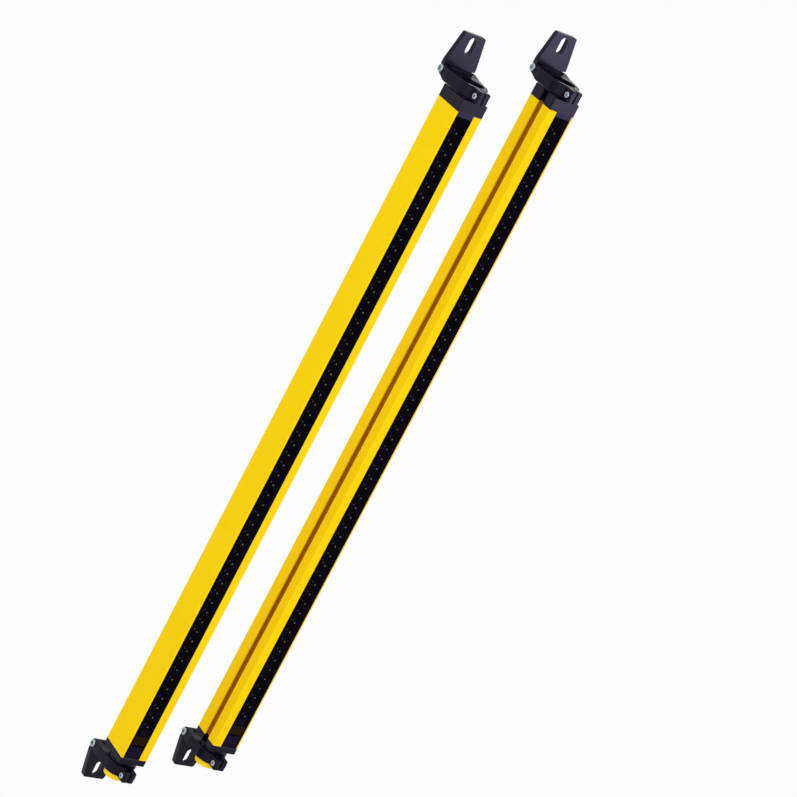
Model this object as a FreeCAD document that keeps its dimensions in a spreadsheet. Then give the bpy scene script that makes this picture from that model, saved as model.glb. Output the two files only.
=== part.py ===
"""Safety light curtain: a sender and a receiver stick, each in two swivel brackets.

Frame: +Z up along the sticks, the windows face -Y, the wall plane is y = 0 and the
origin lies on it midway between the sender's two wall slots. Sizes in millimetres.
"""
import FreeCAD, Part
import Sketcher
import math
import os

Vector = FreeCAD.Vector

# Lengths closer than this are the same, and a cut that takes less volume than this is a mistake
SAME_LENGTH = 1e-4
LEAST_CUT = 0.01
# Radius of the loose polygon that a sketch starts from, before its rules pull it into shape
DRAFT_ROUND = 20

# Driving sizes: name, value, what it is.
SIZES = [
    ("unit_spacing", 127, "distance between the two stick axes"),
    ("receiver_rise", 40, "receiver above the sender, as pictured"),
    ("wall_gap", 44, "stick axis to the wall plane"),
    ("housing_width", 40, "front width of the extrusion"),
    ("housing_depth", 48, "depth of the extrusion"),
    ("housing_length", 963, "length between the caps"),
    ("skin", 1.8, "wall of the extrusion"),
    ("corner_round", 1, "outer corner radius"),
    ("thin_rim", 2.3, "narrow rim beside the window"),
    ("wide_rim", 12.4, "wide rim beside the window"),
    ("rebate_depth", 3.2, "window rebate"),
    ("ledge_width", 1.6, "ledge under the window edge"),
    ("ledge_thick", 1.5, "thickness of that ledge"),
    ("groove_centre", -2, "T-slot centre along the depth"),
    ("groove_open", 11, "T-slot opening"),
    ("groove_inside", 16.5, "T-slot width inside"),
    ("groove_lip", 2, "T-slot lip thickness"),
    ("groove_depth", 6, "T-slot depth"),
    ("channel_x", 15.2, "screw channel from the axis, across"),
    ("channel_y", 19.2, "screw channel from the axis, along the depth"),
    ("channel_round", 3.1, "screw channel outer radius"),
    ("pilot_round", 1.45, "screw channel hole radius"),
    ("window_thick", 3, "window pane"),
    ("window_play", 0.1, "gap at each window edge"),
    ("seal_thick", 0.8, "seal between cap and housing"),
    ("cap_height", 16.5, "top cap block with its seal"),
    ("foot_height", 9.5, "bottom cap block with its seal"),
    ("cap_chamfer", 0.8, "cap end edges"),
    ("plug_depth", 5, "cap plug inside the housing"),
    ("plug_play", 0.3, "cap plug clearance"),
    ("tube_round", 17.5, "cap tube outer radius"),
    ("tube_bore", 15.5, "cap tube inner radius"),
    ("shoulder_round", 18.6, "shoulder under the clamp ring"),
    ("shoulder_play", 0.4, "gap between ring and shoulder"),
    ("ring_high", 18, "upper yellow end to the clamp ring"),
    ("ring_low", 16, "lower yellow end to the clamp ring"),
    ("ring_height", 16, "clamp ring height"),
    ("ring_round", 21.5, "clamp ring outer radius"),
    ("ring_play", 0.05, "running clearance on the tube"),
    ("ear_half", 9, "half width over both ears"),
    ("ear_reach", 34, "stick axis to the ear ends"),
    ("ear_round", 2.5, "ear corner radius"),
    ("slit", 2.5, "gap between the ears"),
    ("arm_chamfer", 1.2, "edges of the clamp arm"),
    ("arm_flare", 22, "stick axis to the cheeks' full width"),
    ("cheek_half", 24.5, "half width over the cheeks"),
    ("fork_half", 17, "half width between the cheeks"),
    ("fork_gap", 1.2, "fork floor to the knuckle"),
    ("hinge_back", 36.8, "stick axis to the hinge bolt"),
    ("hinge_level", 11.5, "hinge bolt above the ring base"),
    ("knuckle_round", 6.5, "knuckle radius"),
    ("knuckle_play", 0.3, "gap at each knuckle end"),
    ("plate_thick", 7.5, "wall plate"),
    ("plate_seat", 1, "gap between cheek end and plate"),
    ("plate_low", 4, "hinge axis to the foot of the plate's shoulders"),
    ("plate_straight", 12, "hinge axis to the start of the taper"),
    ("plate_high", 52.5, "hinge axis to the plate end"),
    ("plate_wide", 24, "half width of the plate at the hinge"),
    ("plate_narrow", 16, "half width of the plate at its end"),
    ("plate_round", 3, "plate end corners"),
    ("plate_slot", 37.5, "hinge axis to the slot centre"),
    ("slot_width", 11, "slot in the wall plate"),
    ("slot_length", 23, "slot length over all"),
    ("bolt_round", 3, "hinge bolt radius"),
    ("bolt_play", 0.1, "running clearance on the hinge bolt"),
    ("bolt_head", 5, "hinge bolt head radius"),
    ("bolt_head_high", 3.2, "hinge bolt head height"),
    ("bolt_key", 5, "hinge bolt socket across flats"),
    ("bolt_key_deep", 2.2, "hinge bolt socket depth"),
    ("nut_flats", 10, "hinge nut across flats"),
    ("nut_high", 4, "hinge nut height"),
    ("clamp_reach", 27.5, "stick axis to the clamp screw"),
    ("clamp_level", 7.5, "clamp screw above the ring base"),
    ("clamp_round", 2.5, "clamp screw radius"),
    ("clamp_play", 0.15, "clearance on the clamp screw"),
    ("clamp_head", 4.25, "clamp screw head radius"),
    ("clamp_head_high", 3, "clamp screw head height"),
    ("clamp_key", 3, "clamp screw socket across flats"),
    ("clamp_key_deep", 2, "clamp screw socket depth"),
    ("thread_past", 1, "screw ends beyond their nuts"),
    ("head_round", 0.9, "rounded rim of the screw heads"),
    ("clamp_sink", 1.6, "depth of the seat for the screw head"),
    ("clamp_seat", 5.6, "radius of that seat"),
    ("clamp_nut_flats", 8, "clamp nut across flats"),
    ("clamp_nut_high", 4, "clamp nut height"),
    ("nut_sink", 2.5, "depth of the seat for the nut"),
    ("optics_play", 0.3, "gap behind the window ledge"),
    ("lens_count", 60, "lenses in each column"),
    ("lens_pitch", 15, "lens pitch along the stick"),
    ("lens_low", 51, "lower yellow end to the first lens"),
    ("lens_offset", 2.85, "lens columns from the window centre"),
    ("lens_stagger", 4, "height step between the columns"),
    ("lens_size", 3.4, "lens aperture"),
    ("lens_sink", 0.6, "aperture depth"),
    ("strip_low", 41, "lower yellow end to the lens strip"),
    ("strip_half", 10, "half width of the lens strip"),
    ("strip_thick", 1.4, "lens strip"),
    ("carrier_end", 6, "yellow ends to the optics carrier"),
    ("carrier_half", 11.4, "half width of the optics carrier"),
    ("carrier_depth", 24, "depth of the optics carrier"),
    ("carrier_skin", 1.5, "wall of the optics carrier"),
    ("board_end", 8, "yellow ends to the circuit board"),
    ("board_half", 9.5, "half width of the circuit board"),
    ("board_thick", 1.6, "circuit board"),
    ("board_sink", 1, "board below the carrier's edge"),
    ("chip_low", 52, "board end to the first chip"),
    ("chip_size", 10, "chip width"),
    ("chip_long", 14, "chip length"),
    ("chip_thick", 1.4, "chip height"),
    ("chip_count", 7, "chips on the board"),
    ("chip_pitch", 120, "chip pitch"),
    ("lamp_low", 21.5, "yellow end to the status lamp"),
    ("lamp_high", 14, "status lamp height"),
    ("digit_low", 2, "yellow end to the digit display"),
    ("digit_high", 17, "digit display height"),
    ("display_half", 9.6, "half width of lamp and display"),
    ("sleeve_round", 13, "connector sleeve outer radius"),
    ("sleeve_bore", 11.5, "connector sleeve bore"),
    ("sleeve_long", 19, "connector sleeve below the cap floor"),
    ("insert_long", 8, "connector insert below the cap floor"),
    ("pin_round", 0.8, "contact pin radius"),
    ("pin_long", 7.5, "contact pin length"),
    ("pin_circle", 7.5, "contact pin circle radius"),
    ("dust_round", 14.8, "dust cap outer radius"),
    ("dust_end", 42, "yellow end to the dust cap end"),
    ("dust_long", 25, "dust cap length"),
    ("dust_skin", 1.6, "dust cap wall"),
    ("dust_floor", 2.4, "dust cap floor"),
    ("screw_head", 2.9, "cap screw head radius"),
    ("screw_head_high", 2, "cap screw head height"),
    ("screw_sink", 2.3, "depth of the seat for the screw head"),
    ("screw_round", 1.4, "cap screw shank radius"),
    ("screw_long", 22, "cap screw shank length"),
    ("drive_wide", 1, "cross recess arm width"),
    ("drive_long", 3.2, "cross recess arm length"),
    ("drive_deep", 1.1, "cross recess depth"),
]

doc = FreeCAD.newDocument("LightCurtain")
sheet = doc.addObject("Spreadsheet::Sheet", "Dims")
for row, (alias, value, note) in enumerate(SIZES, start=1):
    sheet.set(f"A{row}", note)
    sheet.set(f"B{row}", str(value))
    sheet.setAlias(f"B{row}", alias)
doc.recompute()

# Levels and places that several parts share, as expressions in a stick's own frame.
HINGE_HIGH = "(Dims.ring_high + Dims.hinge_level)"
HINGE_LOW = "(Dims.ring_low + Dims.ring_height - Dims.hinge_level)"
END_HIGH = f"((Dims.housing_length + {HINGE_LOW} - {HINGE_HIGH}) / 2)"
END_LOW = f"(-(Dims.housing_length + {HINGE_HIGH} - {HINGE_LOW}) / 2)"
FRONT = "(-Dims.housing_depth / 2)"
WINDOW_LEFT = "(-Dims.housing_width / 2 + Dims.thin_rim)"
WINDOW_RIGHT = "(Dims.housing_width / 2 - Dims.wide_rim)"
WINDOW_MID = "((Dims.thin_rim - Dims.wide_rim) / 2)"
LEDGE_BACK = "(-Dims.housing_depth / 2 + Dims.rebate_depth + Dims.ledge_thick)"
OPTICS_FRONT = "(" + LEDGE_BACK + " + Dims.optics_play)"
STRIP_FRONT = "(" + OPTICS_FRONT + " - Dims.strip_thick)"
CAVITY_TOP = "(Dims.groove_centre - Dims.groove_inside / 2)"
CAVITY_LOW = "(Dims.groove_centre + Dims.groove_inside / 2 + Dims.skin)"


def new_body(name, home, z="0", turned=False, x="0", y="0"):
    """A body in a stick's frame, turned half round about Y if it hangs downward."""
    body = doc.addObject("PartDesign::Body", name)
    body.Label = name
    if turned:
        body.Placement = FreeCAD.Placement(Vector(), FreeCAD.Rotation(Vector(0, 1, 0), 180))
    body.setExpression("Placement.Base.x", f"{home[0]} + {x}")
    body.setExpression("Placement.Base.y", f"{y} - Dims.wall_gap")
    body.setExpression("Placement.Base.z", f"{home[1]} + {z}")
    return body


def sketch(body, name, role, polygons=(), circles=(), offset="0"):
    """A sketch on one of the body's own planes, each corner and radius bound to a rule."""
    plane = [item for item in body.Origin.OriginFeatures if item.Role == role][0]
    drawn = body.newObject("Sketcher::SketchObject", name)
    drawn.AttachmentSupport = [(plane, "")]
    drawn.MapMode = "FlatFace"
    drawn.setExpression("AttachmentOffset.Base.z", offset)
    for corners in polygons:
        first = drawn.GeometryCount
        count = len(corners)
        spread = [2 * math.pi * step / count for step in range(count)]
        start = [Vector(DRAFT_ROUND * math.cos(angle), DRAFT_ROUND * math.sin(angle), 0) for angle in spread]
        for step in range(count):
            drawn.addGeometry(Part.LineSegment(start[step], start[(step + 1) % count]), False)
        for step in range(count):
            following = first + (step + 1) % count
            drawn.addConstraint(Sketcher.Constraint("Coincident", first + step, 2, following, 1))
        for step, (across, along) in enumerate(corners):
            bind_point(drawn, first + step, 1, start[step], across, along)
    for across, along, radius in circles:
        index = drawn.addGeometry(Part.Circle(Vector(1, 1, 0), Vector(0, 0, 1), 2), False)
        bind_point(drawn, index, 3, Vector(1, 1, 0), across, along)
        rule = drawn.addConstraint(Sketcher.Constraint("Radius", index, 2))
        drawn.setExpression(f"Constraints[{rule}]", radius)
    drawn.recompute()
    return drawn


def bind_point(drawn, index, end, start, across, along):
    """Tie one point of a sketch to two rules."""
    for kind, value, rule_text in (("DistanceX", start.x, across), ("DistanceY", start.y, along)):
        rule = drawn.addConstraint(Sketcher.Constraint(kind, -1, 1, index, end, value))
        drawn.setExpression(f"Constraints[{rule}]", rule_text)


def pad(body, drawn, length, middle=False, back=False):
    """Pad a sketch by a bound length."""
    made = body.newObject("PartDesign::Pad", drawn.Name + "Pad")
    made.Profile = drawn
    made.Midplane = middle
    made.Reversed = back
    made.setExpression("Length", length)
    made.recompute()
    return made


def pocket(body, drawn, length=None, middle=False, back=False):
    """Cut a sketch by a bound length, or right through both ways when none is given."""
    before = body.Tip.Shape.Volume
    made = body.newObject("PartDesign::Pocket", drawn.Name + "Pocket")
    made.Profile = drawn
    made.Reversed = back
    if length is None:
        made.Type = "ThroughAll"
        made.Midplane = True
    else:
        made.Midplane = middle
        made.setExpression("Length", length)
    made.recompute()
    if made.Shape.Volume > before - LEAST_CUT:
        raise RuntimeError(f"{drawn.Name} cuts nothing")
    return made


def soften(body, kind, size, wanted):
    """Fillet or chamfer the edges of the tip whose middle passes the test."""
    tip = body.Tip
    names = []
    for number, edge in enumerate(tip.Shape.Edges, start=1):
        middle = edge.valueAt((edge.FirstParameter + edge.LastParameter) / 2)
        if wanted(edge, middle):
            names.append(f"Edge{number}")
    if not names:
        raise RuntimeError(f"{body.Label} has no edge to soften")
    made = body.newObject("PartDesign::" + kind, f"{body.Name}{kind}{len(body.Group)}")
    made.Base = (tip, names)
    made.setExpression("Radius" if kind == "Fillet" else "Size", size)
    made.recompute()
    return made


def gather(name, members):
    """One node from several separate solids."""
    group = doc.addObject("Part::Compound", name)
    group.Label = name
    group.Links = members
    return group


def along_z(body):
    """The body's own Z axis, for a row of repeats."""
    return ([item for item in body.Origin.OriginFeatures if item.Role == "Z_Axis"][0], [""])


def value(alias):
    """A size from the sheet, for the edge tests."""
    return float(sheet.get(alias))


def near(first, second):
    """True for two lengths that are the same but for rounding."""
    return abs(first - second) < SAME_LENGTH


def upright(edge):
    """True for a straight edge along Z."""
    box = edge.BoundBox
    return near(box.XLength, 0) and near(box.YLength, 0)


def groove_corners(side):
    """The T-slot's corners on one flank, from the back lip to the front lip."""
    flank = "Dims.housing_width / 2"
    low, high = "Dims.groove_centre - ", "Dims.groove_centre + "
    open_half, inside_half = "Dims.groove_open / 2", "Dims.groove_inside / 2"
    steps = [
        (flank, high + open_half),
        (flank + " - Dims.groove_lip", high + open_half),
        (flank + " - Dims.groove_lip", high + inside_half),
        (flank + " - Dims.groove_depth", high + inside_half),
        (flank + " - Dims.groove_depth", low + inside_half),
        (flank + " - Dims.groove_lip", low + inside_half),
        (flank + " - Dims.groove_lip", low + open_half),
        (flank, low + open_half),
    ]
    return [(f"{side} * ({across})", along) for across, along in steps]


def box_corners(side, left, right, low, high):
    """Four corners of a rectangle, mirrored by side."""
    turns = ((left, low), (right, low), (right, high), (left, high))
    return [(f"{side} * ({across})", along) for across, along in turns]


def hexagon(flats, across="0", along="0"):
    """Corners of a hexagon of a given width across flats."""
    radius = f"{flats} / 3^0.5"
    turns = [30 + 60 * turn for turn in range(6)]
    return [(f"{across} + {radius} * cos({turn} deg)", f"{along} + {radius} * sin({turn} deg)") for turn in turns]


def outer_corners(side):
    """The housing's outer outline with its T-slot."""
    half, back = "Dims.housing_width / 2", "Dims.housing_depth / 2"
    start = [(f"{side} * (-{half})", FRONT), (f"{side} * (-{half})", back), (f"{side} * ({half})", back)]
    return start + groove_corners(side) + [(f"{side} * ({half})", FRONT)]


def cavity_corners(side):
    """The inside of the housing, from the right ledge round to the left ledge."""
    half, back = "Dims.housing_width / 2", "Dims.housing_depth / 2"
    floor = FRONT + " + Dims.rebate_depth"
    slot_wall = f"{half} - Dims.groove_depth - Dims.skin"
    steps = [
        (WINDOW_RIGHT, FRONT),
        (WINDOW_RIGHT, floor),
        (WINDOW_RIGHT + " - Dims.ledge_width", floor),
        (WINDOW_RIGHT + " - Dims.ledge_width", LEDGE_BACK),
        (WINDOW_RIGHT, LEDGE_BACK),
        (WINDOW_RIGHT, CAVITY_TOP),
        (slot_wall, CAVITY_TOP),
        (slot_wall, CAVITY_LOW),
        (half + " - Dims.skin", CAVITY_LOW),
        (half + " - Dims.skin", back + " - Dims.skin"),
        ("-" + half + " + Dims.skin", back + " - Dims.skin"),
        ("-" + half + " + Dims.skin", LEDGE_BACK),
        (WINDOW_LEFT + " + Dims.ledge_width", LEDGE_BACK),
        (WINDOW_LEFT + " + Dims.ledge_width", floor),
        (WINDOW_LEFT, floor),
        (WINDOW_LEFT, FRONT),
    ]
    return [(f"{side} * ({across})", along) for across, along in steps]


def screw_spots(side):
    """The three cap screws: two at the back corners, one in the wide rim."""
    spots = (("-Dims.channel_x", "Dims.channel_y"), ("Dims.channel_x", "Dims.channel_y"),
             ("Dims.channel_x", "-Dims.channel_y"))
    return [(f"{side} * ({across})", along) for across, along in spots]


def round_at(spots, radius):
    """Circles of one radius at several spots."""
    return [(across, along, radius) for across, along in spots]


def make_housing(name, side, home):
    """The aluminium extrusion with window rebate, rim chamber, T-slot and screw channels."""
    body = new_body(name, home, END_LOW)
    section = sketch(body, name + "Section", "XY_Plane", [outer_corners(side) + cavity_corners(side)])
    pad(body, section, "Dims.housing_length")
    rim = box_corners(side, WINDOW_RIGHT + " + Dims.skin", "Dims.housing_width / 2 - Dims.skin",
                      FRONT + " + Dims.skin", CAVITY_TOP + " - Dims.skin")
    pocket(body, sketch(body, name + "Rim", "XY_Plane", [rim]))
    channels = round_at(screw_spots(side), "Dims.channel_round")
    pad(body, sketch(body, name + "Channels", "XY_Plane", (), channels), "Dims.housing_length")
    pilots = round_at(screw_spots(side), "Dims.pilot_round")
    pocket(body, sketch(body, name + "Pilots", "XY_Plane", (), pilots))
    half_x, half_y = value("housing_width") / 2, value("housing_depth") / 2

    def outer(edge, middle):
        return upright(edge) and near(abs(middle.x), half_x) and near(abs(middle.y), half_y)
    soften(body, "Fillet", "Dims.corner_round", outer)
    return body


def make_window(name, side, home):
    """The black front pane in its rebate."""
    body = new_body(name, home, END_LOW)
    left, right = WINDOW_LEFT + " + Dims.window_play", WINDOW_RIGHT + " - Dims.window_play"
    low = FRONT + " + Dims.rebate_depth - Dims.window_thick"
    pane = box_corners(side, left, right, low, FRONT + " + Dims.rebate_depth")
    pad(body, sketch(body, name + "Pane", "XY_Plane", [pane]), "Dims.housing_length")
    return body


def make_cap(name, side, home, turned, block, ring):
    """An end cap: block with the T-slot's notch, plug, shoulder and tube for the clamp ring."""
    level = END_LOW + " - Dims.seal_thick" if turned else END_HIGH + " + Dims.seal_thick"
    body = new_body(name, home, level, turned)
    height = f"{block} - Dims.seal_thick"
    tube_end = f"{ring} + Dims.ring_height - Dims.seal_thick"
    pad(body, sketch(body, name + "Block", "XY_Plane", [outer_corners(side)]), height)
    plug = box_corners(side, "-Dims.housing_width / 2 + Dims.skin + Dims.plug_play",
                       WINDOW_RIGHT + " - Dims.plug_play", "Dims.groove_centre",
                       "Dims.channel_y - Dims.channel_round - Dims.plug_play")
    pad(body, sketch(body, name + "Plug", "XY_Plane", [plug]), "Dims.plug_depth + Dims.seal_thick", back=True)
    shoulder = sketch(body, name + "Shoulder", "XY_Plane", (), [("0", "0", "Dims.shoulder_round")])
    pad(body, shoulder, f"{ring} - Dims.seal_thick - Dims.shoulder_play")
    tube = sketch(body, name + "Tube", "XY_Plane", (), [("0", "0", "Dims.tube_round")])
    pad(body, tube, tube_end)
    bore = sketch(body, name + "Bore", "XY_Plane", (), [("0", "0", "Dims.tube_bore")], tube_end)
    pocket(body, bore, f"{ring} + Dims.ring_height - {block}")
    notch = sketch(body, name + "Notch", "XY_Plane", [groove_corners(side)])
    pocket(body, notch, height, back=True)
    if turned:
        passage = sketch(body, name + "Passage", "XY_Plane", (), [("0", "0", "Dims.sleeve_bore")])
        pocket(body, passage)
    clear = round_at(screw_spots(side), "Dims.screw_round + Dims.plug_play")
    pocket(body, sketch(body, name + "Clearance", "XY_Plane", (), clear))
    seats = round_at(screw_spots(side), "Dims.screw_head + Dims.plug_play")
    pocket(body, sketch(body, name + "Seats", "XY_Plane", (), seats, height), "Dims.screw_sink")
    half_x, half_y = value("housing_width") / 2, value("housing_depth") / 2
    top, corner_round = value("foot_height" if turned else "cap_height") - value("seal_thick"), value("corner_round")

    def corner(edge, middle):
        return upright(edge) and near(abs(middle.x), half_x) and near(abs(middle.y), half_y)

    def rim(edge, middle):
        at_top = near(middle.z, top) and near(edge.BoundBox.ZLength, 0)
        on_side = near(abs(middle.x), half_x) or near(abs(middle.y), half_y)
        rounded = abs(middle.x) > half_x - corner_round and abs(middle.y) > half_y - corner_round
        return at_top and (on_side or rounded)
    soften(body, "Fillet", "Dims.corner_round", corner)
    soften(body, "Chamfer", "Dims.cap_chamfer", rim)
    return body


def make_seals(name, side, home):
    """The two flat seals between caps and housing, as one node of two solids."""
    solids = []
    for part_name, level in (("Low", END_LOW + " - Dims.seal_thick"), ("High", END_HIGH)):
        body = new_body(name + part_name, home, level)
        pad(body, sketch(body, name + part_name + "Rim", "XY_Plane", [outer_corners(side)]), "Dims.seal_thick")
        hole = box_corners(side, "-Dims.housing_width / 2 + Dims.skin + Dims.plug_play / 2", WINDOW_RIGHT,
                           LEDGE_BACK, "Dims.channel_y - Dims.channel_round")
        pocket(body, sketch(body, name + part_name + "Hole", "XY_Plane", [hole]))
        spots = round_at(screw_spots(side), "Dims.screw_round + Dims.plug_play")
        pocket(body, sketch(body, name + part_name + "Spots", "XY_Plane", (), spots))
        solids.append(body)
    return gather(name, solids)


def make_cap_screws(name, side, home):
    """Six self-tapping screws, three in each cap."""
    solids = []
    for end, turned in (("High", False), ("Low", True)):
        face = END_LOW + " - Dims.foot_height + " if turned else END_HIGH + " + Dims.cap_height - "
        for number, (across, along) in enumerate(screw_spots(side)):
            label = f"{name}{end}{number}"
            body = new_body(label, home, face + "Dims.screw_sink", turned, across, along)
            head = sketch(body, label + "Head", "XY_Plane", (), [("0", "0", "Dims.screw_head")])
            pad(body, head, "Dims.screw_head_high")
            shank = sketch(body, label + "Shank", "XY_Plane", (), [("0", "0", "Dims.screw_round")])
            pad(body, shank, "Dims.screw_long", back=True)
            wide, long = "Dims.drive_wide / 2", "Dims.drive_long / 2"
            for way, across_half, along_half in (("A", wide, long), ("B", long, wide)):
                corners = box_corners(1, "-" + across_half, across_half, "-" + along_half, along_half)
                slot = sketch(body, label + "Drive" + way, "XY_Plane", [corners], (), "Dims.screw_head_high")
                pocket(body, slot, "Dims.drive_deep")
            solids.append(body)
    return gather(name, solids)


def make_carrier(name, side, home):
    """The trough that holds lens strip and circuit board behind the window."""
    carrier = new_body(name, home, END_LOW + " + Dims.carrier_end")
    left, right = WINDOW_MID + " - Dims.carrier_half", WINDOW_MID + " + Dims.carrier_half"
    back = OPTICS_FRONT + " + Dims.carrier_depth"
    outer = box_corners(side, left, right, OPTICS_FRONT, back)
    pad(carrier, sketch(carrier, name + "Block", "XY_Plane", [outer]), "Dims.housing_length - 2 * Dims.carrier_end")
    trough = box_corners(side, left + " + Dims.carrier_skin", right + " - Dims.carrier_skin",
                         OPTICS_FRONT + " + Dims.carrier_skin", back + " + Dims.carrier_skin")
    pocket(carrier, sketch(carrier, name + "Trough", "XY_Plane", [trough]))
    return carrier


def make_lens_strip(name, side, home):
    """The strip behind the window with its two staggered columns of square apertures."""
    strip = new_body(name, home, END_LOW + " + Dims.strip_low")
    plate = box_corners(side, WINDOW_MID + " - Dims.strip_half", WINDOW_MID + " + Dims.strip_half",
                        STRIP_FRONT, OPTICS_FRONT)
    length = "Dims.housing_length - Dims.strip_low - Dims.carrier_end"
    pad(strip, sketch(strip, name + "Plate", "XY_Plane", [plate]), length)
    holes = []
    for column, rise in (("- Dims.lens_offset", "Dims.lens_stagger"), ("+ Dims.lens_offset", "0")):
        left = f"{side} * {WINDOW_MID} {column} - Dims.lens_size / 2"
        low = f"Dims.lens_low - Dims.strip_low + {rise} - Dims.lens_size / 2"
        holes.append(box_corners(1, left, left + " + Dims.lens_size", low, low + " + Dims.lens_size"))
    cut = pocket(strip, sketch(strip, name + "Lenses", "XZ_Plane", holes, (), "-" + STRIP_FRONT), "Dims.lens_sink")
    row = strip.newObject("PartDesign::LinearPattern", name + "Row")
    row.Originals = [cut]
    row.Direction = along_z(strip)
    row.setExpression("Length", "(Dims.lens_count - 1) * Dims.lens_pitch")
    row.setExpression("Occurrences", "Dims.lens_count")
    strip.Tip = row
    return strip


def make_board(name, side, home):
    """The circuit board in the carrier's open back, with a row of chips."""
    board = new_body(name, home, END_LOW + " + Dims.board_end")
    back = OPTICS_FRONT + " + Dims.carrier_depth - Dims.board_sink"
    plate = box_corners(side, WINDOW_MID + " - Dims.board_half", WINDOW_MID + " + Dims.board_half",
                        back + " - Dims.board_thick", back)
    pad(board, sketch(board, name + "Plate", "XY_Plane", [plate]), "Dims.housing_length - 2 * Dims.board_end")
    chip = box_corners(side, WINDOW_MID + " - Dims.chip_size / 2", WINDOW_MID + " + Dims.chip_size / 2",
                       "Dims.chip_low", "Dims.chip_low + Dims.chip_long")
    chips = pad(board, sketch(board, name + "Chip", "XZ_Plane", [chip], (), "-(" + back + ")"),
                "Dims.chip_thick", back=True)
    row = board.newObject("PartDesign::LinearPattern", name + "Row")
    row.Originals = [chips]
    row.Direction = along_z(board)
    row.setExpression("Length", "(Dims.chip_count - 1) * Dims.chip_pitch")
    row.setExpression("Occurrences", "Dims.chip_count")
    board.Tip = row
    return board


def make_display(name, side, home, low, height):
    """A display block behind the window's lower end."""
    body = new_body(name, home, f"{END_LOW} + {low}")
    face = box_corners(side, WINDOW_MID + " - Dims.display_half", WINDOW_MID + " + Dims.display_half",
                       STRIP_FRONT, OPTICS_FRONT)
    pad(body, sketch(body, name + "Face", "XY_Plane", [face]), height)
    return body


def make_connector(name, home):
    """Round system connector in the lower tube: sleeve, insert, pins and yellow dust cap."""
    floor = f"{END_LOW} - Dims.foot_height"
    sleeve = new_body(name + "_connector_sleeve", home, floor, True)
    ring = [("0", "0", "Dims.sleeve_round"), ("0", "0", "Dims.sleeve_bore")]
    pad(sleeve, sketch(sleeve, name + "Sleeve", "XY_Plane", (), ring), "Dims.sleeve_long")
    insert = new_body(name + "_connector_insert", home, floor, True)
    disc = sketch(insert, name + "Disc", "XY_Plane", (), [("0", "0", "Dims.sleeve_bore")])
    pad(insert, disc, "Dims.insert_long")
    spots = [(f"Dims.pin_circle * cos({turn} deg)", f"Dims.pin_circle * sin({turn} deg)")
             for turn in range(0, 360, 60)]
    pins = []
    for number, (across, along) in enumerate(spots + [("0", "0")]):
        label = f"{name}Pin{number}"
        pin = new_body(label, home, floor + " - Dims.insert_long", True, across, along)
        pad(pin, sketch(pin, label + "Round", "XY_Plane", (), [("0", "0", "Dims.pin_round")]), "Dims.pin_long")
        pins.append(pin)
    group = gather(name + "_connector_pins", pins)
    dust = new_body(name + "_dust_cap", home, f"{END_LOW} - Dims.dust_end")
    pad(dust, sketch(dust, name + "Dust", "XY_Plane", (), [("0", "0", "Dims.dust_round")]), "Dims.dust_long")
    hollow = sketch(dust, name + "Hollow", "XY_Plane", (), [("0", "0", "Dims.dust_round - Dims.dust_skin")],
                    "Dims.dust_floor")
    pocket(dust, hollow, "Dims.dust_long", back=True)

    def foot(edge, middle):
        return near(edge.BoundBox.ZMax, 0)
    soften(dust, "Fillet", "Dims.dust_skin", foot)
    return [sleeve, insert, group, dust]


def touch_point(start, centre, radius, turn):
    """Where a line from a start point touches a circle; turn is 1 for its left side, -1 for its right."""
    run = f"(({centre[0]}) - ({start[0]}))"
    rise = f"(({centre[1]}) - ({start[1]}))"
    away = f"({run}^2 + {rise}^2)"
    angle = f"(atan2({rise}; {run}) + {turn} * asin({radius} / {away}^0.5))"
    length = f"({away} - {radius}^2)^0.5"
    return (f"{start[0]} + {length} * cos({angle})", f"{start[1]} + {length} * sin({angle})")


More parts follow.
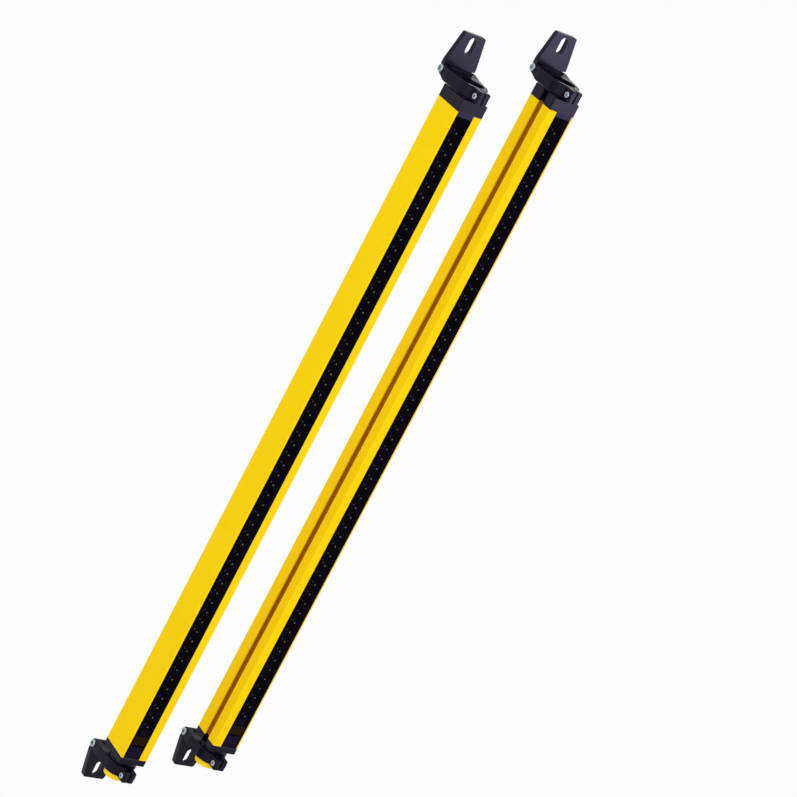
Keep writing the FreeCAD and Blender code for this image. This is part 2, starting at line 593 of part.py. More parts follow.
def make_arm(name, home, z):
    """Clamp arm: split ring, ears with the clamp screw's seats, cheeks for the hinge bolt."""
    body = new_body(name, home, z)
    hub = ("Dims.hinge_back", "Dims.hinge_level")
    low, high = ("Dims.arm_flare", "0"), ("Dims.arm_flare", "Dims.ring_height")
    wide = ("Dims.cheek_half", "Dims.arm_flare")
    touch = touch_point(wide, ("0", "0"), "Dims.ring_round", 1)
    flank = [(touch[1], "0"), low, touch_point(low, hub, "Dims.knuckle_round", -1), hub,
             touch_point(high, hub, "Dims.knuckle_round", 1), high, (touch[1], "Dims.ring_height")]
    pad(body, sketch(body, name + "Flank", "YZ_Plane", [flank]), "2 * Dims.cheek_half", middle=True)
    nose = [(*hub, "Dims.knuckle_round")]
    pad(body, sketch(body, name + "Nose", "YZ_Plane", (), nose), "2 * Dims.cheek_half", middle=True)
    for way, side in (("Right", "1"), ("Left", "-1")):
        outside = "Dims.cheek_half + Dims.ring_play"
        corners = [touch, (outside, touch[1]), (outside, "Dims.arm_flare"), wide]
        corners = [(f"{side} * ({across})", along) for across, along in corners]
        pocket(body, sketch(body, name + "Flare" + way, "XY_Plane", [corners]))
    ring = sketch(body, name + "Ring", "XY_Plane", (), [("0", "0", "Dims.ring_round")])
    pad(body, ring, "Dims.ring_height")
    ears = box_corners(1, "-Dims.ear_half", "Dims.ear_half", "-Dims.ear_reach", "0")
    pad(body, sketch(body, name + "Ears", "XY_Plane", [ears]), "Dims.ring_height")
    bore = sketch(body, name + "Bore", "XY_Plane", (), [("0", "0", "Dims.tube_round + Dims.ring_play")])
    pocket(body, bore)
    slit = box_corners(1, "-Dims.slit / 2", "Dims.slit / 2", "-Dims.ear_reach - Dims.slit", "-Dims.tube_bore")
    pocket(body, sketch(body, name + "Slit", "XY_Plane", [slit]))
    gap = box_corners(1, "-Dims.fork_half", "Dims.fork_half",
                      "Dims.hinge_back - Dims.knuckle_round - Dims.fork_gap",
                      "Dims.hinge_back + Dims.knuckle_round + Dims.fork_gap")
    pocket(body, sketch(body, name + "Gap", "XY_Plane", [gap]))
    hinge = [(*hub, "Dims.bolt_round")]
    pocket(body, sketch(body, name + "Hinge", "YZ_Plane", (), hinge))
    spot = ("-Dims.clamp_reach", "Dims.clamp_level")
    clamp = [(*spot, "Dims.clamp_round + Dims.clamp_play")]
    pocket(body, sketch(body, name + "Clamp", "YZ_Plane", (), clamp))
    head = [(*spot, "Dims.clamp_seat")]
    seat = sketch(body, name + "HeadSeat", "YZ_Plane", (), head, "-Dims.ear_half")
    pocket(body, seat, "Dims.clamp_sink", back=True)
    nut = hexagon("(Dims.clamp_nut_flats + Dims.plug_play)", *spot)
    pocket(body, sketch(body, name + "NutSeat", "YZ_Plane", [nut], (), "Dims.ear_half"), "Dims.nut_sink")
    ear, front = value("ear_half"), value("ear_reach")
    ring_round, tall, flare = value("ring_round"), value("ring_height"), value("arm_flare")

    def ear_corner(edge, middle):
        return upright(edge) and near(abs(middle.x), ear) and near(middle.y, -front)

    def ring_rim(edge, middle):
        box = edge.BoundBox
        level = near(box.ZLength, 0) and (near(box.ZMax, 0) or near(box.ZMax, tall))
        ends = [Vector(end.X, end.Y, 0).Length for end in edge.Vertexes]
        return level and min(ends) > ring_round - SAME_LENGTH and middle.y < flare - SAME_LENGTH
    soften(body, "Fillet", "Dims.ear_round", ear_corner)
    soften(body, "Chamfer", "Dims.arm_chamfer", ring_rim)
    return body


def make_plate(name, home, z, turned):
    """Wall plate: tapered plate with a slot, and a knuckle round the hinge bolt."""
    body = new_body(name, home, z, turned)
    right = [("Dims.plate_wide", "Dims.plate_low"), ("Dims.plate_wide", "Dims.plate_straight"),
             ("Dims.plate_narrow", "Dims.plate_high")]
    left = [(f"-{across}", along) for across, along in reversed(right)]
    face = sketch(body, name + "Face", "XZ_Plane", [right + left], (), "-Dims.wall_gap")
    pad(body, face, "Dims.plate_thick")
    top = value("plate_high")

    def end_corner(edge, middle):
        box = edge.BoundBox
        return near(box.XLength, 0) and near(box.ZLength, 0) and near(middle.z, top)
    soften(body, "Fillet", "Dims.plate_round", end_corner)
    seat = [("Dims.hinge_back", "0", "Dims.knuckle_round + Dims.plate_seat")]
    pocket(body, sketch(body, name + "Seat", "YZ_Plane", (), seat))
    half = "Dims.fork_half - Dims.knuckle_play"
    neck = box_corners(1, "-(" + half + ")", half, "0", "Dims.plate_straight")
    pad(body, sketch(body, name + "Neck", "XZ_Plane", [neck], (), "-Dims.wall_gap"), "Dims.plate_thick")
    knuckle = [("Dims.hinge_back", "0", "Dims.knuckle_round")]
    pad(body, sketch(body, name + "Knuckle", "YZ_Plane", (), knuckle), "2 * (" + half + ")", middle=True)
    bore = [("Dims.hinge_back", "0", "Dims.bolt_round + Dims.bolt_play")]
    pocket(body, sketch(body, name + "Bolt", "YZ_Plane", (), bore))
    width, straight = "Dims.slot_width / 2", "(Dims.slot_length - Dims.slot_width) / 2"
    low, high = f"Dims.plate_slot - {straight}", f"Dims.plate_slot + {straight}"
    pocket(body, sketch(body, name + "Slot", "XZ_Plane", [box_corners(1, "-" + width, width, low, high)]))
    for number, level in enumerate((low, high)):
        pocket(body, sketch(body, f"{name}End{number}", "XZ_Plane", (), [("0", level, width)]))
    return body


def make_bolt(name, home, y, z, sizes):
    """A screw along X with a socket head at its -X end, and its nut at the other end."""
    shaft, head, head_high, key, key_deep, head_seat, nut_seat, nut_flats, nut_high = sizes
    screw = new_body(name, home, z, False, "0", y)
    shank = sketch(screw, name + "Shank", "YZ_Plane", (), [("0", "0", shaft)], f"-({head_seat})")
    pad(screw, shank, f"{head_seat} + {nut_seat} + {nut_high} + Dims.thread_past")
    cap = sketch(screw, name + "Head", "YZ_Plane", (), [("0", "0", head)], f"-({head_seat})")
    pad(screw, cap, head_high, back=True)
    face = screw.Tip.Shape.BoundBox.XMin

    def rim(edge, middle):
        return near(edge.BoundBox.XMax, face)
    soften(screw, "Fillet", "Dims.head_round", rim)
    socket = sketch(screw, name + "Key", "YZ_Plane", [hexagon(key)], (), f"-({head_seat}) - {head_high}")
    pocket(screw, socket, key_deep, back=True)
    nut = new_body(name.replace("_bolt", "_nut").replace("_screw", "_nut"), home, z, False, "0", y)
    blank = sketch(nut, nut.Name + "Blank", "YZ_Plane", [hexagon(nut_flats)], [("0", "0", shaft)], nut_seat)
    pad(nut, blank, nut_high)
    return [screw, nut]


HINGE_SIZES = ("Dims.bolt_round", "Dims.bolt_head", "Dims.bolt_head_high", "Dims.bolt_key",
               "Dims.bolt_key_deep", "Dims.cheek_half", "Dims.cheek_half",
               "Dims.nut_flats", "Dims.nut_high")
CLAMP_SIZES = ("Dims.clamp_round", "Dims.clamp_head", "Dims.clamp_head_high", "Dims.clamp_key",
               "Dims.clamp_key_deep", "(Dims.ear_half - Dims.clamp_sink)",
               "(Dims.ear_half - Dims.nut_sink)", "Dims.clamp_nut_flats", "Dims.clamp_nut_high")

# Build both sticks with all they hold, then the four brackets.
nodes = []
units = (("sender", 1, ("0", "0")), ("receiver", -1, ("Dims.unit_spacing", "Dims.receiver_rise")))
for unit, side, home in units:
    nodes.append(make_housing(unit + "_housing", side, home))
    nodes.append(make_window(unit + "_window", side, home))
    nodes.append(make_cap(unit + "_top_cap", side, home, False, "Dims.cap_height", "Dims.ring_high"))
    nodes.append(make_cap(unit + "_bottom_cap", -side, home, True, "Dims.foot_height", "Dims.ring_low"))
    nodes.append(make_seals(unit + "_seals", side, home))
    nodes.append(make_cap_screws(unit + "_cap_screws", side, home))
    nodes.append(make_carrier(unit + "_optics_carrier", side, home))
    nodes.append(make_lens_strip(unit + "_lens_strip", side, home))
    nodes.append(make_board(unit + "_circuit_board", side, home))
    nodes.append(make_display(unit + "_status_lamp", side, home, "Dims.lamp_low", "Dims.lamp_high"))
    nodes.append(make_display(unit + "_digit_display", side, home, "Dims.digit_low", "Dims.digit_high"))
    nodes += make_connector(unit, home)
    bases = (("top", False, f"{END_HIGH} + Dims.ring_high"),
             ("bottom", True, f"{END_LOW} - Dims.ring_low - Dims.ring_height"))
    for end, turned, base in bases:
        name = f"{unit}_{end}"
        nodes.append(make_arm(name + "_clamp_arm", home, base))
        nodes.append(make_plate(name + "_wall_plate", home, base + " + Dims.hinge_level", turned))
        nodes += make_bolt(name + "_hinge_bolt", home, "Dims.hinge_back", base + " + Dims.hinge_level", HINGE_SIZES)
        nodes += make_bolt(name + "_clamp_screw", home, "-Dims.clamp_reach", base + " + Dims.clamp_level", CLAMP_SIZES)

doc.recompute()

# Check every object, then write one file a node.
for item in doc.Objects:
    if "Invalid" in item.State or "Error" in item.State:
        raise RuntimeError(f"{item.Name} is in error")
os.makedirs("parts", exist_ok=True)
for node in nodes:
    if node.Shape.isNull() or not node.Shape.isValid():
        raise RuntimeError(f"{node.Label} has no valid shape")
    node.Shape.exportStep(f"parts/{node.Label}.step")
    print(node.Label, round(node.Shape.Volume, 1), len(node.Shape.Solids))
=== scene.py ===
"""Looks of a safety light curtain: two yellow sticks with black windows in swivel brackets.

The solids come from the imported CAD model. This script gives them their finishes, adds the
screw threads, and sets up the studio and the camera. Blender's own lengths are in metres;
the object's sizes are written in millimetres and turned to metres by MM.
"""

import bpy
import numpy as np
from mathutils import Matrix, Vector


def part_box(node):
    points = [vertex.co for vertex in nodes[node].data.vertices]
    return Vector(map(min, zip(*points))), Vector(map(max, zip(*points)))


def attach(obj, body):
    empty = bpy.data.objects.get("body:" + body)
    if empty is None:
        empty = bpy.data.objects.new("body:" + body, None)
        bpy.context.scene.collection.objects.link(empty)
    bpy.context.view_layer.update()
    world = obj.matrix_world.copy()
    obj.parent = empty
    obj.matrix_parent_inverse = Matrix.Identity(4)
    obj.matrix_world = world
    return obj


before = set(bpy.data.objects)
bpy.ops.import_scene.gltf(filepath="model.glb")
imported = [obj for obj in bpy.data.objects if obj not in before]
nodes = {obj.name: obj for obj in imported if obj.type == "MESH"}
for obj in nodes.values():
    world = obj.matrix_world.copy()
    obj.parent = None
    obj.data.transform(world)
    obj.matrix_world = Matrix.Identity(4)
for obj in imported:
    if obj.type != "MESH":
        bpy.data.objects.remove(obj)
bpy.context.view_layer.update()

MM = 0.001

# The yellow profile's lower end on the sender
PROFILE_LOW = -486.0
# Each stick's axis, how much higher it hangs, and which way its wide rim points along X
STICKS = {"sender": (0.0, 0.0, 1), "receiver": (127.0, 40.0, -1)}
# The pane's middle from the stick's axis; minus is away from the wide rim
WINDOW_MIDDLE = -5.05


# Colours

def linear(hex_text):
    """sRGB hex to linear RGBA, by the standard curve."""
    channels = np.array([int(hex_text[i:i + 2], 16) for i in (1, 3, 5)]) / 255
    low = channels / 12.92
    high = ((channels + 0.055) / 1.055) ** 2.4
    return (*np.where(channels <= 0.04045, low, high), 1.0)


# Materials

# A colour Mix node's sockets go by number, since its names repeat for every kind of value: the
# share of the second colour, the first colour, the second, and the result
SHARE, UNDER, OVER, MIXED = 0, 6, 7, 2


def add_node(made, kind, settings=None, links=None):
    """Add one node; links gives each input, by name or number, a value or another's output."""
    node = made.node_tree.nodes.new(kind)
    for key, setting in (settings or {}).items():
        setattr(node, key, setting)
    for key, given in (links or {}).items():
        if isinstance(given, bpy.types.NodeSocket):
            made.node_tree.links.new(given, node.inputs[key])
        else:
            node.inputs[key].default_value = given
    return node


def start_material(name):
    """A new node material, empty, and its Object coordinates."""
    made = bpy.data.materials.new(name)
    made.use_nodes = True
    made.node_tree.nodes.clear()
    return made, add_node(made, "ShaderNodeTexCoord").outputs["Object"]


def finish_material(made, colour, grain, smooth, rough, **constants):
    """Close a material with its Principled shader. Its roughness follows the grain's pattern
    between two values, and the constants are set on the shader's own sockets."""
    normal, pattern = grain
    spread = add_node(made, "ShaderNodeMapRange",
                      links={"Value": pattern, "To Min": smooth, "To Max": rough})
    links = {"Base Color": colour, "Normal": normal, "Roughness": spread.outputs["Result"]}
    links.update({key.replace("_", " "): given for key, given in constants.items()})
    shader = add_node(made, "ShaderNodeBsdfPrincipled", links=links)
    add_node(made, "ShaderNodeOutputMaterial", links={"Surface": shader.outputs["BSDF"]})
    return made


def mottled(made, place, dark, light, patch_mm):
    """A slow drift between two colours, in patches of a given size."""
    patches = add_node(made, "ShaderNodeTexNoise",
                       links={"Vector": place, "Scale": 1 / (patch_mm * MM), "Detail": 2.0})
    tone = add_node(made, "ShaderNodeMix", {"data_type": "RGBA"},
                    {SHARE: patches.outputs["Fac"], UNDER: linear(dark), OVER: linear(light)})
    return tone.outputs[MIXED]


def grainy(made, place, grain_mm, high_mm, stretch=(1.0, 1.0, 1.0)):
    """Bumps of a given width and height, finer along an axis with a stretch over 1 and longer
    along one with a stretch under 1."""
    scaled = add_node(made, "ShaderNodeMapping", {"vector_type": "POINT"},
                      {"Vector": place, "Scale": stretch})
    bumps = add_node(made, "ShaderNodeTexNoise",
                     links={"Vector": scaled.outputs["Vector"], "Scale": 1 / (grain_mm * MM),
                            "Detail": 3.0})
    bump = add_node(made, "ShaderNodeBump",
                    links={"Height": bumps.outputs["Fac"], "Distance": high_mm * MM,
                           "Strength": 1.0})
    return bump.outputs["Normal"], bumps.outputs["Fac"]


def moulded_nylon():
    """Glass-filled nylon, moulded: a spark-eroded grain that breaks highlights into a grey-violet
    sheen, and paler flow patches. The grain is 0.1 mm on the real one and drawn at 0.4 mm."""
    made, place = start_material("moulded_glass_filled_nylon")
    tone = mottled(made, place, "#110A19", "#181024", patch_mm=14)
    grain = grainy(made, place, grain_mm=0.4, high_mm=0.004)
    return finish_material(made, tone, grain, smooth=0.2, rough=0.32,
                           IOR=1.53, Specular_IOR_Level=0.1)


def plated_metal(name, dark, light):
    """Plated or blackened metal on a piece turned about X: rings left by the lathe draw the gleam
    out round the axis, and the plating is cloudy in patches. The rings lie 0.08 mm apart, about a
    lathe's feed."""
    made, place = start_material(name)
    tone = mottled(made, place, dark, light, patch_mm=3)
    grain = grainy(made, place, grain_mm=0.3, high_mm=0.006, stretch=(4.0, 0.4, 0.4))
    return finish_material(made, tone, grain, smooth=0.2, rough=0.38, Metallic=1.0)


def dull_rubber():
    """Nitrile rubber, moulded flat: near black, dull, with a talc bloom."""
    made, place = start_material("nitrile_rubber")
    tone = mottled(made, place, "#0E0D12", "#1A1820", patch_mm=5)
    grain = grainy(made, place, grain_mm=0.4, high_mm=0.01)
    return finish_material(made, tone, grain, smooth=0.6, rough=0.75, IOR=1.52)


def patch_mask(made, across, along, middle, half):
    """1 inside a rectangle and 0 outside; its middle and half sizes are in metres."""
    inside = [add_node(made, "ShaderNodeMath", {"operation": "COMPARE"},
                       {0: given, 1: centre, 2: reach})
              for given, centre, reach in zip((across, along), middle, half)]
    both = add_node(made, "ShaderNodeMath", {"operation": "MULTIPLY"},
                    {0: inside[0].outputs[0], 1: inside[1].outputs[0]})
    return both.outputs[0]


# The T-slot in the flank, where shade is painted brown-orange: its middle, along X from the
# stick's axis and along Y, its half size along each, and how much of the painted shade shows at
# its mouth
GROOVE_MIDDLE = (16.9, -46.0)
GROOVE_HALF = (3.0, 8.3)
MOUTH_SHADE_SHARE = 0.25


def powder_coat(unit):
    """Polyester powder coat on extruded aluminium: deep signal yellow, a fine orange peel, a soft
    sheen with no sharp reflections. The T-slot carries painted shade, brown-orange and darkest
    towards its floor. The peel is 0.3 mm on the real one and drawn at 0.8 mm to show."""
    axis_x, _, side = STICKS[unit]
    made, place = start_material("powder_coated_aluminium_" + unit)
    split = add_node(made, "ShaderNodeSeparateXYZ", links={0: place})
    yellow = mottled(made, place, "#F9D002", "#FDD606", patch_mm=60)
    middle = ((axis_x + side * GROOVE_MIDDLE[0]) * MM, GROOVE_MIDDLE[1] * MM)
    groove = patch_mask(made, split.outputs["X"], split.outputs["Y"], middle,
                        [half * MM for half in GROOVE_HALF])
    mouth_x, floor_x = ((axis_x + side * (GROOVE_MIDDLE[0] + way * GROOVE_HALF[0])) * MM
                        for way in (1, -1))
    deep = add_node(made, "ShaderNodeMapRange",
                    links={"Value": split.outputs["X"], "From Min": mouth_x,
                           "From Max": floor_x, "To Min": MOUTH_SHADE_SHARE})
    # Painted shade in the T-slot: a share of the brown at the mouth, all of it at the floor
    groove_shade = add_node(made, "ShaderNodeMath", {"operation": "MULTIPLY"},
                    {0: groove, 1: deep.outputs["Result"]})
    tone = add_node(made, "ShaderNodeMix", {"data_type": "RGBA"},
                    {SHARE: groove_shade.outputs[0], UNDER: yellow, OVER: linear("#B06A00")})
    grain = grainy(made, place, grain_mm=0.8, high_mm=0.006)
    return finish_material(made, tone.outputs[MIXED], grain, smooth=0.44, rough=0.52,
                           Specular_IOR_Level=0.04)


# What shows faintly through the tinted pane: lowest and highest level above the profile's lower
# end, half width, and colour
PANE_PATCHES = (
    (0.0, 1.2, 12.5, "#241F38"),
    (2.4, 18.6, 9.4, "#1A1028"),
    (21.8, 35.2, 9.4, "#221703"),
    (37.2, 46.0, 5.4, "#110C1C"),
    (957.0, 963.0, 12.5, "#34324F"),
)
# The beam pairs: lowest lens above the profile's lower end, each column from the pane's middle,
# how much the column towards -X lies higher, and half a lens's side
LENS_PAIRS = 60
LENS_PITCH = 15.0
LENS_LOW = 51.0
LENS_HIGH = LENS_LOW + (LENS_PAIRS - 1) * LENS_PITCH
LENS_OFFSET = 2.85
LENS_STAGGER = 4.0
LENS_HALF = 0.9
# The lenses lie 4 mm behind the face, so from the photograph's side they show nearer to -X
LENS_SHIFT = -2.6
# Each column's side, and the darkest and brightest painted glint on its lenses
LENS_COLUMNS = ((-1, "#000004", "#4C4C5A"), (1, "#06080A", "#84868C"))


def tinted_pane(unit):
    """Extruded tinted acrylic, polished: almost black with a violet cast and a faint clear sheen.
    The lenses behind it show as painted glints, small grey squares in slanted pairs, 15 mm apart,
    and the display and the lamp at its lower end show as dark violet and dark amber fields."""
    axis_x, rise, side = STICKS[unit]
    middle_x, low_z = axis_x + side * WINDOW_MIDDLE, PROFILE_LOW + rise
    made, place = start_material("tinted_acrylic_" + unit)
    split = add_node(made, "ShaderNodeSeparateXYZ", links={0: place})
    across, along = split.outputs["X"], split.outputs["Z"]
    tone = mottled(made, place, "#020104", "#050209", patch_mm=90)
    for low, high, half_wide, colour in PANE_PATCHES:
        middle = (middle_x * MM, (low_z + (low + high) / 2) * MM)
        mask = patch_mask(made, across, along, middle, (half_wide * MM, (high - low) / 2 * MM))
        tone = add_node(made, "ShaderNodeMix", {"data_type": "RGBA"},
                        {SHARE: mask, UNDER: tone, OVER: linear(colour)}).outputs[MIXED]
    beams = patch_mask(made, across, along,
                       (middle_x * MM, (low_z + (LENS_LOW + LENS_HIGH + LENS_STAGGER) / 2) * MM),
                       (LENS_PITCH * MM, (LENS_HIGH - LENS_LOW + 2 * LENS_STAGGER) / 2 * MM))
    for column, dim, bright in LENS_COLUMNS:
        # The level within one pitch, with the lens in its middle
        first = low_z + LENS_LOW + (LENS_STAGGER if column < 0 else 0.0) - LENS_PITCH / 2
        start = add_node(made, "ShaderNodeMath", {"operation": "SUBTRACT"},
                         {0: along, 1: first * MM})
        level = add_node(made, "ShaderNodeMath", {"operation": "FLOORED_MODULO"},
                         {0: start.outputs[0], 1: LENS_PITCH * MM})
        spot = patch_mask(made, across, level.outputs[0],
                          ((middle_x + LENS_SHIFT + column * LENS_OFFSET) * MM,
                           LENS_PITCH / 2 * MM), (LENS_HALF * MM, LENS_HALF * MM))
        # Painted glints: grey squares on the pane's face for light caught in the lenses behind it
        glint = mottled(made, place, dim, bright, patch_mm=11)
        shown = add_node(made, "ShaderNodeMath", {"operation": "MULTIPLY"}, {0: spot, 1: beams})
        tone = add_node(made, "ShaderNodeMix", {"data_type": "RGBA"},
                        {SHARE: shown.outputs[0], UNDER: tone, OVER: glint}).outputs[MIXED]
    grain = grainy(made, place, grain_mm=6.0, high_mm=0.002, stretch=(1.0, 1.0, 0.3))
    return finish_material(made, tone, grain, smooth=0.05, rough=0.09,
                           IOR=1.49, Specular_IOR_Level=0.02)


def clear_moulding(name, dark, light, smooth, rough, ior):
    """Moulded clear or tinted plastic: a smooth face with slow ripples from the mould."""
    made, place = start_material(name)
    tone = mottled(made, place, dark, light, patch_mm=8)
    grain = grainy(made, place, grain_mm=2.0, high_mm=0.004)
    return finish_material(made, tone, grain, smooth, rough, IOR=ior)


def solder_mask():
    """Glass-epoxy board under green solder mask: satin, with the glass weave as fine bumps."""
    made, place = start_material("solder_masked_board")
    tone = mottled(made, place, "#0F4224", "#175A32", patch_mm=2)
    grain = grainy(made, place, grain_mm=0.5, high_mm=0.01)
    return finish_material(made, tone, grain, smooth=0.28, rough=0.42, IOR=1.55)


def soft_polyethylene():
    """Low-density polyethylene, moulded: a waxy yellow with an uneven satin skin."""
    made, place = start_material("moulded_polyethylene")
    tone = mottled(made, place, "#F8D606", "#FEE00E", patch_mm=6)
    grain = grainy(made, place, grain_mm=0.6, high_mm=0.006)
    return finish_material(made, tone, grain, smooth=0.4, rough=0.55,
                           IOR=1.51, Specular_IOR_Level=0.2)


black_nylon = moulded_nylon()
# Zinc on steel is a bright bluish grey
zinc_steel = plated_metal("zinc_plated_steel", "#8F9DA4", "#B7C3C8")
# Cap screws are the same steel, blackened: a brown-black oxide with a faint metal gleam
black_steel = plated_metal("blackened_steel", "#17141A", "#2A262C")
seal_rubber = dull_rubber()
# Acrylic lenses, dark behind the tint; a warm amber lamp cover; a violet-black display glass
lens_acrylic = clear_moulding("moulded_acrylic", "#12070D", "#22101A",
                              smooth=0.1, rough=0.2, ior=1.49)
amber_lamp = clear_moulding("amber_polycarbonate", "#2E1A06", "#44280A",
                            smooth=0.15, rough=0.25, ior=1.585)
display_glass = clear_moulding("smoked_display_glass", "#140D2A", "#21163F",
                               smooth=0.08, rough=0.16, ior=1.52)
board_green = solder_mask()
# Nickel on brass: a warm grey metal; gold on brass: the thin bright plate on the contact pins
nickel_brass = plated_metal("nickel_plated_brass", "#A8A398", "#C4BFB4")
gold_brass = plated_metal("gold_plated_brass", "#C99732", "#E0B04A")
yellow_plastic = soft_polyethylene()

# The finish for each ending of a node's name
FINISHES = {
    "sender_housing": powder_coat("sender"), "receiver_housing": powder_coat("receiver"),
    "sender_window": tinted_pane("sender"), "receiver_window": tinted_pane("receiver"),
    "_top_cap": black_nylon, "_bottom_cap": black_nylon, "_seals": seal_rubber,
    "_cap_screws": black_steel, "_optics_carrier": black_nylon, "_lens_strip": lens_acrylic,
    "_circuit_board": board_green, "_status_lamp": amber_lamp,
    "_digit_display": display_glass, "_connector_sleeve": nickel_brass,
    "_connector_insert": black_nylon, "_connector_pins": gold_brass,
    "_dust_cap": yellow_plastic, "_clamp_arm": black_nylon, "_wall_plate": black_nylon,
    "_hinge_bolt": zinc_steel, "_hinge_nut": zinc_steel,
    "_clamp_screw": zinc_steel, "_clamp_nut": zinc_steel,
}
for node_name, node_object in nodes.items():
    finish = next(made for ending, made in FINISHES.items() if node_name.endswith(ending))
    node_object.data.materials.clear()
    node_object.data.materials.append(finish)


# Screw threads: grid steps round one turn, and points across the ridge

THREAD_STEPS = 24
THREAD_PROFILE = 5


def screw_thread(name, body, axis_place, start_x, turns, pitch, root, crest):
    """A thread ridge round a screw's end, along X.

    The first parameter runs along the helix: the angle grows evenly and x grows by one pitch a
    turn. The second runs across the ridge: x spreads over half a pitch each way while the radius
    rises from the root to the crest and falls back, as a triangle. The ridge fades at both ends
    over a quarter of a turn.
    """
    count = int(turns * THREAD_STEPS) + 1
    along = np.linspace(0.0, 1.0, count)[:, None]
    across = np.linspace(-1.0, 1.0, THREAD_PROFILE)[None, :]
    angle = 2 * np.pi * turns * along
    fade = np.clip(np.minimum(along, 1 - along) * turns * 4, 0.0, 1.0)
    radius = root + (crest - root) * (1 - np.abs(across)) * fade
    x = start_x + pitch * (turns * along + 0.5 * across)
    points = np.stack([x, axis_place[0] + radius * np.cos(angle),
                       axis_place[1] + radius * np.sin(angle)], axis=-1).reshape(-1, 3)
    row, column = np.meshgrid(np.arange(count - 1), np.arange(THREAD_PROFILE - 1), indexing="ij")
    corner = (row * THREAD_PROFILE + column).ravel()
    faces = np.stack([corner, corner + THREAD_PROFILE, corner + THREAD_PROFILE + 1, corner + 1],
                     axis=-1)
    mesh = bpy.data.meshes.new(name)
    mesh.from_pydata((points * MM).tolist(), [], faces.tolist())
    mesh.materials.append(zinc_steel)
    ridge = bpy.data.objects.new(name, mesh)
    bpy.context.scene.collection.objects.link(ridge)
    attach(ridge, body)


# Studio

def looked_at(made):
    """1 for the camera's own rays and those in reflections and through glass, else 0."""
    rays = add_node(made, "ShaderNodeLightPath")
    seen = rays.outputs["Is Camera Ray"]
    for ray in ("Is Glossy Ray", "Is Transmission Ray"):
        seen = add_node(made, "ShaderNodeMath", {"operation": "MAXIMUM"},
                        {0: seen, 1: rays.outputs[ray]}).outputs[0]
    return seen


def studio_material(name, colour, shadow_share):
    """Stage paint: plain to the light; to the camera and in reflections mostly even white, so that
    the background is white and a share of the shadow stays on it."""
    made, _ = start_material(name)
    even = add_node(made, "ShaderNodeMath", {"operation": "MULTIPLY"},
                    {0: looked_at(made), 1: 1 - shadow_share})
    paint = add_node(made, "ShaderNodeBsdfDiffuse", links={"Color": linear(colour)})
    white = add_node(made, "ShaderNodeEmission",
                     links={"Color": linear("#FFFFFF"), "Strength": 1.0})
    mix = add_node(made, "ShaderNodeMixShader",
                   links={0: even.outputs[0], 1: paint.outputs[0], 2: white.outputs[0]})
    add_node(made, "ShaderNodeOutputMaterial", links={"Surface": mix.outputs[0]})
    return made


# The floor lies 6 cm under the lowest bracket, wide enough that its edge is never seen
FLOOR_LEVEL = -0.62
FLOOR_REACH = 40.0
FLOOR_CORNERS = ((-1, -1), (1, -1), (1, 1), (-1, 1))
FLOOR_SHADOW = 0.06
floor_mesh = bpy.data.meshes.new("floor")
floor_mesh.from_pydata([(x * FLOOR_REACH, y * FLOOR_REACH, FLOOR_LEVEL)
                        for x, y in FLOOR_CORNERS], [], [(0, 1, 2, 3)])
floor_mesh.materials.append(studio_material("pale_floor_paint", "#F2F2F2", FLOOR_SHADOW))
floor = bpy.data.objects.new("floor", floor_mesh)
bpy.context.scene.collection.objects.link(floor)

# The world lights the object softly, and looks even white itself
SOFT_LIGHT = 0.7
studio = bpy.data.worlds.new("studio")
bpy.context.scene.world = studio
studio.use_nodes = True
studio.node_tree.nodes.clear()
strength = add_node(studio, "ShaderNodeMapRange",
                    links={"Value": looked_at(studio), "To Min": SOFT_LIGHT, "To Max": 1.0})
sky = add_node(studio, "ShaderNodeBackground",
               links={"Color": linear("#FFFFFF"), "Strength": strength.outputs["Result"]})
add_node(studio, "ShaderNodeOutputWorld", links={"Surface": sky.outputs[0]})


def soft_box(name, place, aim, power, size, colour):
    """A square soft box that looks at a point; power in watts, size in metres."""
    lamp = bpy.data.lights.new(name, "AREA")
    lamp.energy = power
    lamp.size = size
    lamp.color = linear(colour)[:3]
    holder = bpy.data.objects.new(name, lamp)
    holder.location = place
    holder.rotation_euler = (Vector(aim) - Vector(place)).to_track_quat("-Z", "Y").to_euler()
    bpy.context.scene.collection.objects.link(holder)


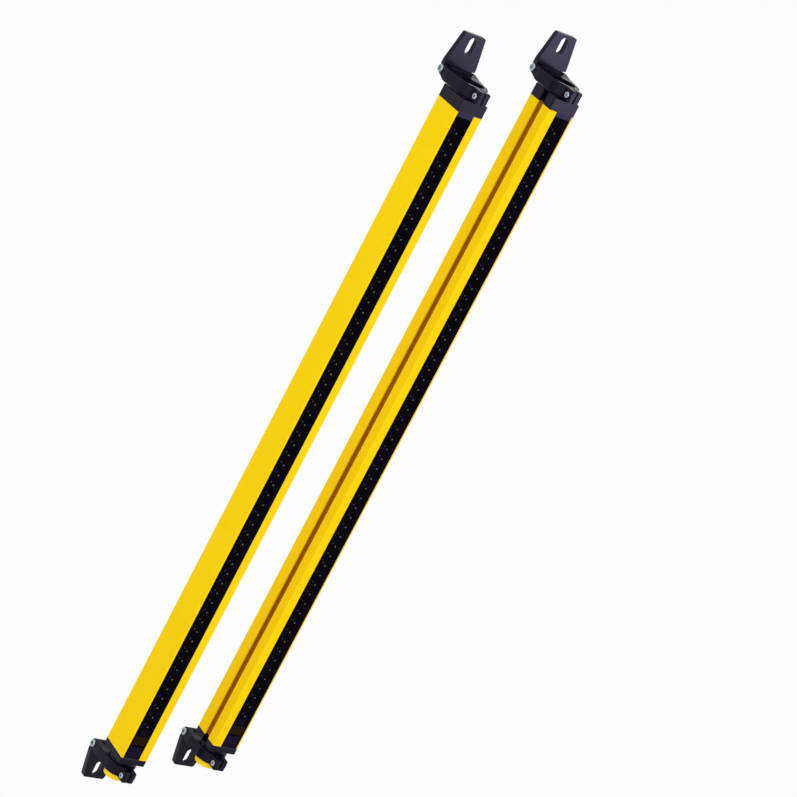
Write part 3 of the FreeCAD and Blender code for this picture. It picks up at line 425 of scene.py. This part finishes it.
# The key stands by the camera. The small box gives the front faces of the nylon their cool sheen
OBJECT_MIDDLE = (0.063, -0.03, 0.0)
soft_box("key_box", (-2.35, -2.4, 1.2), OBJECT_MIDDLE, power=44, size=1.6, colour="#FFFFFF")
soft_box("side_box", (1.45, -1.8, 0.29), OBJECT_MIDDLE, power=8, size=0.3, colour="#D6CCFF")

# Camera, solved from the edges of both sticks; the photograph is 797 pixels wide
PHOTO_PX = 797
FOCAL_PX = 3000.0
SENSOR_MM = 36.0
CAMERA_PLACE = (-2.2145, -2.8997, 1.18406)
CAMERA_TURN = Matrix(((0.767639, -0.202020, -0.608209),
                      (-0.457893, 0.491108, -0.741045),
                      (0.448402, 0.847349, 0.284490)))
camera_data = bpy.data.cameras.new("camera")
camera_data.sensor_width = SENSOR_MM
camera_data.lens = FOCAL_PX / PHOTO_PX * SENSOR_MM
camera_data.clip_end = 100
camera = bpy.data.objects.new("camera", camera_data)
camera.matrix_world = Matrix.Translation(CAMERA_PLACE) @ CAMERA_TURN.to_4x4()
bpy.context.scene.collection.objects.link(camera)
bpy.context.scene.camera = camera
bpy.context.scene.view_settings.view_transform = "Standard"

# Threads past the nuts at every bracket, M6 on the hinge bolt and M5 on the clamp screw: where
# each starts from the stick's axis, its turns, its pitch, and its radii at root and crest. The
# real pitches are 1 and 0.8 mm; 0.7 mm lets a whole turn show on the short ends
THREADS = {
    "hinge_bolt": {"start_x": 28.2, "turns": 1.3, "pitch": 0.7, "root": 2.5, "crest": 3.06},
    "clamp_screw": {"start_x": 10.2, "turns": 1.3, "pitch": 0.7, "root": 2.1, "crest": 2.56},
}
for unit, (axis_x, _, _) in STICKS.items():
    for end in ("top", "bottom"):
        bracket = f"{unit}_{end}"
        for fastener, thread in THREADS.items():
            low, high = (np.array(corner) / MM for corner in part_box(f"{bracket}_{fastener}"))
            middle = (low + high) / 2
            shifted = dict(thread, start_x=thread["start_x"] + axis_x)
            screw_thread(f"{bracket}_{fastener}_thread", bracket + "_arm", middle[1:], **shifted)
